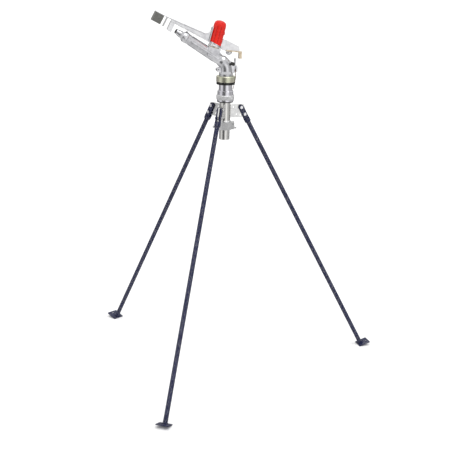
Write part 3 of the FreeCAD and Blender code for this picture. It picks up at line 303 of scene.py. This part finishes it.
def add_piece(name, mesh, body, slot, material=None, stands_for=(), angle=38):
    """Links a mesh as a piece that rides on a body."""
    smooth_by_angle(mesh, angle)
    piece = bpy.data.objects.new(name, mesh)
    bpy.context.scene.collection.objects.link(piece)
    mesh.materials.clear()
    mesh.materials.append(material or MATERIALS[slot])
    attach(piece, body)
    if stands_for:
        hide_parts(*stands_for)
    return piece


def mesh_from(name, vertices, faces, matrix=None):
    mesh = bpy.data.meshes.new(name)
    mesh.from_pydata([tuple(v) for v in vertices], [], faces)
    mesh.update()
    if matrix is not None:
        mesh.transform(matrix)
    return mesh


def joined(name, meshes):
    """One mesh from several."""
    vertices, faces = [], []
    for mesh in meshes:
        start = len(vertices)
        vertices += [v.co.copy() for v in mesh.vertices]
        faces += [[start + i for i in p.vertices] for p in mesh.polygons]
    return mesh_from(name, vertices, faces)


def lathe(name, profile, matrix=None, segments=96, wave=None):
    """A closed (radius, height) outline in mm turned about Z; wave(angle, radius, height) may trim it."""
    vertices, faces = [], []
    count = len(profile)
    for step in range(segments):
        angle = 2 * math.pi * step / segments
        for radius, height in profile:
            r = wave(angle, radius, height) if wave else radius
            vertices.append((r * math.cos(angle) * MM, r * math.sin(angle) * MM, height * MM))
    for step in range(segments):
        here, there = step * count, ((step + 1) % segments) * count
        for i in range(count):
            j = (i + 1) % count
            faces.append((here + i, there + i, there + j, here + j))
    mesh = mesh_from(name, vertices, faces, matrix)
    return cleaned(mesh)


def cleaned(mesh):
    """Merges doubled points, drops flat faces and turns the faces outward."""
    work = bmesh.new()
    work.from_mesh(mesh)
    bmesh.ops.remove_doubles(work, verts=work.verts, dist=1e-6)
    bmesh.ops.dissolve_degenerate(work, dist=1e-7, edges=work.edges)
    bmesh.ops.recalc_face_normals(work, faces=work.faces)
    work.to_mesh(mesh)
    work.free()
    return mesh


def evaluated(name, source, modifiers):
    """The mesh of an object after a list of (type, settings) modifiers."""
    temporary = bpy.data.objects.new(name + "_tmp", source)
    bpy.context.scene.collection.objects.link(temporary)
    for kind, settings in modifiers:
        modifier = temporary.modifiers.new(kind.lower(), kind)
        for key, value in settings.items():
            setattr(modifier, key, value)
    depsgraph = bpy.context.evaluated_depsgraph_get()
    mesh = bpy.data.meshes.new_from_object(temporary.evaluated_get(depsgraph))
    mesh.name = name
    bpy.data.objects.remove(temporary)
    return mesh


def cast_copy(node, voxel=0.9, smoothing=6):
    """A softened copy of a CAD node, its inner corners filled and its edges eased as in a casting."""
    mesh = evaluated(node + "_cast", NODES[node].data.copy(), [
        ("REMESH", {"mode": "VOXEL", "voxel_size": voxel * MM, "adaptivity": 0.0}),
        ("SMOOTH", {"factor": 0.5, "iterations": smoothing}),
        ("DECIMATE", {"decimate_type": "COLLAPSE", "ratio": 0.45})])
    return add_piece(node + "_cast", mesh, BODY_OF[node], SLOT_OF[node], material_of(node), [node], angle=60)


def soften(node, width=0.6, segments=2, angle=32):
    """Eases a CAD node's edges with a bevel and shades it smooth."""
    piece = NODES[node]
    bevel = piece.modifiers.new("bevel", "BEVEL")
    bevel.width = width * MM
    bevel.segments = segments
    bevel.limit_method = "ANGLE"
    bevel.angle_limit = math.radians(angle)
    bevel.harden_normals = True


def bead(points, radius, ripple=0.25, pitch=2.2, sides=10):
    """A weld bead along a polyline in mm: a low tube with overlapping ripples."""
    path = [Vector(p) for p in points]
    lengths = [0.0]
    for a, b in zip(path, path[1:]):
        lengths.append(lengths[-1] + (b - a).length)
    total = lengths[-1]
    rings = max(8, int(total / pitch * 5))
    vertices, faces = [], []
    for ring_index in range(rings + 1):
        along = total * ring_index / rings
        k = max(i for i in range(len(lengths)) if lengths[i] <= along + 1e-9)
        k = min(k, len(path) - 2)
        direction = (path[k + 1] - path[k]).normalized()
        centre = path[k] + direction * (along - lengths[k])
        side = direction.orthogonal().normalized()
        up = direction.cross(side)
        end = min(along, total - along)
        taper = min(1.0, 0.35 + end / (radius * 1.5))
        wave = 1 - ripple * (0.5 + 0.5 * math.cos(2 * math.pi * along / pitch))
        for s in range(sides):
            a = 2 * math.pi * s / sides
            vertices.append((centre + (side * math.cos(a) + up * math.sin(a)) * radius * taper * wave) * MM)
    for ring_index in range(rings):
        for s in range(sides):
            a = ring_index * sides + s
            b = ring_index * sides + (s + 1) % sides
            faces.append((a, b, b + sides, a + sides))
    faces.append(tuple(range(sides - 1, -1, -1)))
    faces.append(tuple(rings * sides + s for s in range(sides)))
    return mesh_from("bead", vertices, faces)


# ---------------------------------------------------------------- carried-over CAD nodes
for node_name, node_object in NODES.items():
    node_object.data.materials.clear()
    node_object.data.materials.append(material_of(node_name))

# cast nodes: voxel size (mm) and smoothing passes
CAST_NODES = {"gun_body": (0.85, 3), "impact_arm": (0.75, 3), "nozzle_nut": (0.7, 3),
              "reversing_bracket": (0.5, 3), "striker_boss": (0.5, 4)}
for node_name, (voxel_size, passes) in CAST_NODES.items():
    cast_copy(node_name, voxel_size, passes)

# bevel widths (mm)
SOFTENED = {"coupler_body": 1.0, "nozzle": 0.4, "spring_cover": 0.8, "guide_vane": 0.8, "drive_vane": 1.5,
            "tail_hook": 0.6, "reversing_lever": 0.7, "hose_stub": 0.4, "riser_adapter": 0.4,
            "lower_stop_ring": 0.8, "upper_stop_ring": 0.8, "bearing_housing": 0.8, "inlet_sleeve": 0.7,
            "left_cam_lever": 0.8, "right_cam_lever": 0.8, "union_gasket": 1.2, "pivot_washer": 0.3,
            "shaft_nut": 0.8}
for leg in LEGS:
    SOFTENED[leg + "_lug_plate"] = 0.7
    SOFTENED[leg + "_leg_fork"] = 0.7
    SOFTENED[leg + "_foot_plate"] = 0.6
for node_name, bevel_width in SOFTENED.items():
    soften(node_name, bevel_width)


# ---------------------------------------------------------------- knurled ring
def make_knurled_ring():
    low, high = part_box("knurled_ring")
    bottom, top = low.z / MM, high.z / MM
    outer = (high.x - low.x) / 2 / MM
    rows, teeth, depth, edge = 40, 80, 0.9, 2.0

    profile = [(36.1, top), (36.1, bottom), (outer - 2, bottom)]
    for i in range(rows + 1):
        profile.append((outer, bottom + edge + (top - bottom - 2 * edge) * i / rows))
    profile.append((outer - 2, top))

    def knurl(angle, radius, height):
        if radius < outer - 0.01:
            return radius
        phase = teeth * angle / (2 * math.pi)
        rise = (height - bottom) / (2 * math.pi * outer / teeth)
        first, second = (phase + rise) % 1.0, (phase - rise) % 1.0
        groove = min(abs(first - 0.5), abs(second - 0.5)) * 2
        return radius - depth * (1 - min(1.0, groove * 1.6))

    mesh = lathe("knurled_ring_cut", profile, segments=480, wave=knurl)
    add_piece("knurled_ring_cut", mesh, "stand", "machined_aluminium", stands_for=["knurled_ring"], angle=50)


make_knurled_ring()


# ---------------------------------------------------------------- hexagon bolts and nuts
def hexagon(flats, low, high, eased_low, eased_high, bore=0.0):
    """A hexagonal head or nut with chamfered corners, its sides trimmed from a turned outline."""
    rim, tip, ease = flats / math.sqrt(3), flats * 0.475, 0.7

    def trimmed(angle, radius, height):
        turn = (angle + math.pi / 6) % (math.pi / 3) - math.pi / 6
        return min(radius, flats / 2 / math.cos(turn))

    profile = [(bore, low), (tip if eased_low else rim, low), (rim, low + ease), (rim, high - ease),
               (tip if eased_high else rim, high), (bore, high)]
    return lathe("hexagon", profile, segments=72, wave=trimmed)


def make_bolts():
    """Every leg's pivot bolt and lock bolt, with threads on the ends past the nuts."""
    span, head, nut, radius, flats, run_out, lock_distance = 10.5, 5.3, 6.5, 4.0, 13.0, 2.0, 36.0
    thread = [(0, -span), (radius, -span), (radius, span - 3)]
    for turn in range(9):
        thread += [(radius - 0.55, span - 2.6 + turn * 1.25), (radius, span - 2.0 + turn * 1.25)]
    thread += [(radius - 0.8, span + nut + run_out), (0, span + nut + run_out)]
    pivot_bolts, pivot_nuts = [], []
    for leg in LEGS:
        joint = JOINTS[leg + "_leg_fold"]
        axis = Vector(joint["axis"])
        outward = axis.cross(Vector((0, 0, 1)))
        pivot = Vector(joint["pos_m"])
        down = outward * math.sin(LEG_LEAN) - Vector((0, 0, math.cos(LEG_LEAN)))
        pair = []
        for place in (pivot, pivot + down * lock_distance * MM):
            bolt = joined("bolt", [hexagon(flats, -span - head, -span, True, False), lathe("shank", thread)])
            cap = hexagon(flats, span, span + nut, False, True, bore=radius)
            for mesh in (bolt, cap):
                mesh.transform(frame_matrix(place, axis, outward))
            pair.append((bolt, cap))
        pivot_bolts.append(pair[0][0])
        pivot_nuts.append(pair[0][1])
        lock = joined(leg + "_lock_bolt_detailed", pair[1])
        add_piece(lock.name, lock, leg + "_leg", "bright_zinc", stands_for=[leg + "_lock_bolt"], angle=25)
    for node, meshes in (("pivot_bolts", pivot_bolts), ("pivot_nuts", pivot_nuts)):
        mesh = joined(node + "_detailed", meshes)
        add_piece(mesh.name, mesh, "stand", "bright_zinc", stands_for=[node], angle=25)


make_bolts()


# ---------------------------------------------------------------- ribbed deflector block
def prism(name, outline, low, high, matrix):
    """An outline in mm drawn in a frame's XY plane and raised along its Z."""
    count = len(outline)
    vertices = [(x * MM, y * MM, level * MM) for level in (low, high) for x, y in outline]
    faces = [tuple(range(count - 1, -1, -1)), tuple(range(count, 2 * count))]
    faces += [(i, (i + 1) % count, count + (i + 1) % count, count + i) for i in range(count)]
    return mesh_from(name, vertices, faces, matrix)


def make_deflector_block():
    """The block at the arm's tip, with upright ribs on both faces."""
    start, end, low, high, half = 265.5, 307.5, -38.5, 2.1, 13.0
    ribs, groove, depth = 11, 1.5, 1.6
    pitch = (end - start + groove) / ribs
    near, far = [], []
    for rib in range(ribs):
        left, right = start + rib * pitch, start + (rib + 1) * pitch - groove
        near += [(left, half), (right, half)]
        far += [(left, -half), (right, -half)]
        if rib < ribs - 1:
            near += [(right, half - depth), (right + groove, half - depth)]
            far += [(right, depth - half), (right + groove, depth - half)]
    mesh = prism("deflector_block_ribbed", near + far[::-1], low, high, ARM)
    block = add_piece("deflector_block_ribbed", mesh, "arm", "grey_block",
                      stands_for=["deflector_block"], angle=30)
    bevel = block.modifiers.new("bevel", "BEVEL")
    bevel.width = 0.35 * MM
    bevel.segments = 2


make_deflector_block()


# ---------------------------------------------------------------- weld beads
LEG_TUBE = 10.3
FOOT_MITRE = math.radians(10.7)
COLLAR_END = -76.4


def ring_points(radius, height, fall=0.0, count=28):
    """A closed loop round the leg's axis, in mm; fall is how much it drops per mm outward."""
    points = []
    for step in range(count + 1):
        angle = 2 * math.pi * step / count
        x, y = radius * math.cos(angle), radius * math.sin(angle)
        points.append((x, y, height - fall * x))
    return points


def make_welds():
    """Beads where the lug plates meet the riser, the forks meet the legs, and the legs meet their feet."""
    pivot_reach, riser_side, plate_side = 74.5, 24.9, 4.1
    for leg in LEGS:
        low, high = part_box(leg + "_lug_plate")
        pivot_level = JOINTS[leg + "_leg_fold"]["pos_m"][2]
        bottom, top = (low.z - pivot_level) / MM + 1, (high.z - pivot_level) / MM - 1
        place = leg_plane(leg)
        for side in (1, -1):
            reach, across = riser_side - pivot_reach, side * plate_side
            seam = bead([(reach, across, bottom), (reach, across, top)], 2.0)
            seam.transform(place)
            name = "%s_lug_weld_%s" % (leg, "a" if side > 0 else "b")
            add_piece(name, seam, "stand", "zinc_plate", angle=60)
        along = leg_plane(leg, LEG_LEAN)
        collar = bead(ring_points(LEG_TUBE + 0.9, COLLAR_END), 1.5)
        collar.transform(along)
        add_piece(leg + "_fork_weld", collar, leg + "_leg", "navy_paint", angle=60)
        length = foot_distance(leg, along)
        seam = bead(ring_points(LEG_TUBE + 1.0, 1.2 - length, math.tan(FOOT_MITRE)), 1.9)
        seam.transform(along)
        add_piece(leg + "_foot_weld", seam, leg + "_leg", "navy_paint", angle=60)


def foot_distance(leg, along):
    """How far down the leg's axis its tube ends, in mm, halfway between the mitre's two ends."""
    inverse = along.inverted()
    heights = [(inverse @ (NODES[leg + "_leg_tube"].matrix_world @ v.co)).z / MM
               for v in NODES[leg + "_leg_tube"].data.vertices]
    lowest = min(heights)
    return -(lowest + LEG_TUBE * math.tan(FOOT_MITRE))


make_welds()


# ---------------------------------------------------------------- studio and camera
# the studio's panels: degrees to the right of the camera's direction, brightness
ROOM = ((-90, 0.5), (-70, 0.85), (-50, 0.75), (-38, 0.2), (-8, 0.14), (5, 0.5), (20, 1.0), (42, 1.0),
        (60, 0.55), (90, 0.45), (115, 0.6), (135, 0.26), (180, 0.22), (220, 0.3), (262, 0.4), (270, 0.5))


def make_floor():
    """A large sheet of white paper, which metal doesn't mirror: the room gives the metal its bands."""
    ground, half = CAD_BOX[0].z, 30
    corners = [(-half, -half, ground), (half, -half, ground), (half, half, ground), (-half, half, ground)]
    mesh = mesh_from("studio_floor", corners, [(0, 1, 2, 3)])
    floor = bpy.data.objects.new("studio_floor", mesh)
    bpy.context.scene.collection.objects.link(floor)
    paper = Shader("studio_paper", Roughness=0.9, Specular_IOR_Level=0.0)
    paper.colour(paper.mix(paper.noise(3), (0.93, 0.93, 0.93), (0.95, 0.95, 0.95)))
    mesh.materials.append(paper.material)
    floor.visible_glossy = False


def make_world():
    """Bright above and below, light and dark panels round the sides, and plain white where it shows."""
    world = bpy.data.worlds.new("studio")
    bpy.context.scene.world = world
    world.use_nodes = True
    tree = world.node_tree
    nodes, links = tree.nodes, tree.links
    coords = nodes.new("ShaderNodeTexCoord")

    around = nodes.new("ShaderNodeTexGradient")
    around.gradient_type = "RADIAL"
    links.new(coords.outputs["Generated"], around.inputs["Vector"])
    panels = nodes.new("ShaderNodeValToRGB")
    panels.color_ramp.interpolation = "EASE"
    stops = panels.color_ramp.elements
    for index, (degrees, level) in enumerate(ROOM):
        place = min(1.0, 0.25 + degrees / 360)
        stop = stops[index] if index < 2 else stops.new(place)
        stop.position = place
        stop.color = (level, level, level * 1.01, 1)
    links.new(around.outputs["Fac"], panels.inputs["Fac"])

    height = nodes.new("ShaderNodeSeparateXYZ")
    links.new(coords.outputs["Generated"], height.inputs["Vector"])
    result = panels.outputs["Color"]
    for low, high, level in ((0.04, 0.4, 0.95), (-0.45, -0.85, 0.8)):
        span = nodes.new("ShaderNodeMapRange")
        span.inputs["From Min"].default_value = low
        span.inputs["From Max"].default_value = high
        links.new(height.outputs["Z"], span.inputs["Value"])
        mix = nodes.new("ShaderNodeMixRGB")
        links.new(span.outputs["Result"], mix.inputs["Fac"])
        links.new(result, mix.inputs["Color1"])
        mix.inputs["Color2"].default_value = (level, level, level, 1)
        result = mix.outputs["Color"]
    path = nodes.new("ShaderNodeLightPath")
    paper = nodes.new("ShaderNodeMixRGB")
    links.new(path.outputs["Is Camera Ray"], paper.inputs["Fac"])
    links.new(result, paper.inputs["Color1"])
    paper.inputs["Color2"].default_value = (1, 1, 1, 1)
    links.new(paper.outputs["Color"], nodes["Background"].inputs["Color"])


def make_lamps():
    sun = bpy.data.lights.new("overhead", "SUN")
    sun.angle = math.radians(50)
    sun.energy = 1.3
    lamp = bpy.data.objects.new("overhead", sun)
    bpy.context.scene.collection.objects.link(lamp)
    lamp.rotation_euler = (math.radians(18), math.radians(14), 0)


def make_camera():
    """A long lens in front of the object, a little above the gun and tipped down."""
    distance, height = 4.884, 2.149
    pitch, yaw, roll = (math.radians(a) for a in (16.843, 0.215, -1.478))
    focal_pixels, image_pixels, sensor = 1095, 452, 36.0
    level_right = Vector((math.cos(yaw), -math.sin(yaw), 0))
    forward = Vector((math.sin(yaw) * math.cos(pitch), math.cos(yaw) * math.cos(pitch), -math.sin(pitch)))
    level_up = level_right.cross(forward)
    right = level_right * math.cos(roll) - level_up * math.sin(roll)
    up = level_right * math.sin(roll) + level_up * math.cos(roll)
    data = bpy.data.cameras.new("camera")
    data.sensor_width = sensor
    data.lens = focal_pixels / image_pixels * sensor
    data.clip_end = 200
    camera = bpy.data.objects.new("camera", data)
    bpy.context.scene.collection.objects.link(camera)
    turn = Matrix((right, up, -forward)).transposed().to_4x4()
    camera.matrix_world = Matrix.Translation((0, -distance, CAD_BOX[0].z + height)) @ turn
    bpy.context.scene.camera = camera


make_floor()
make_world()
make_lamps()
make_camera()
bpy.context.scene.view_settings.view_transform = "Standard"
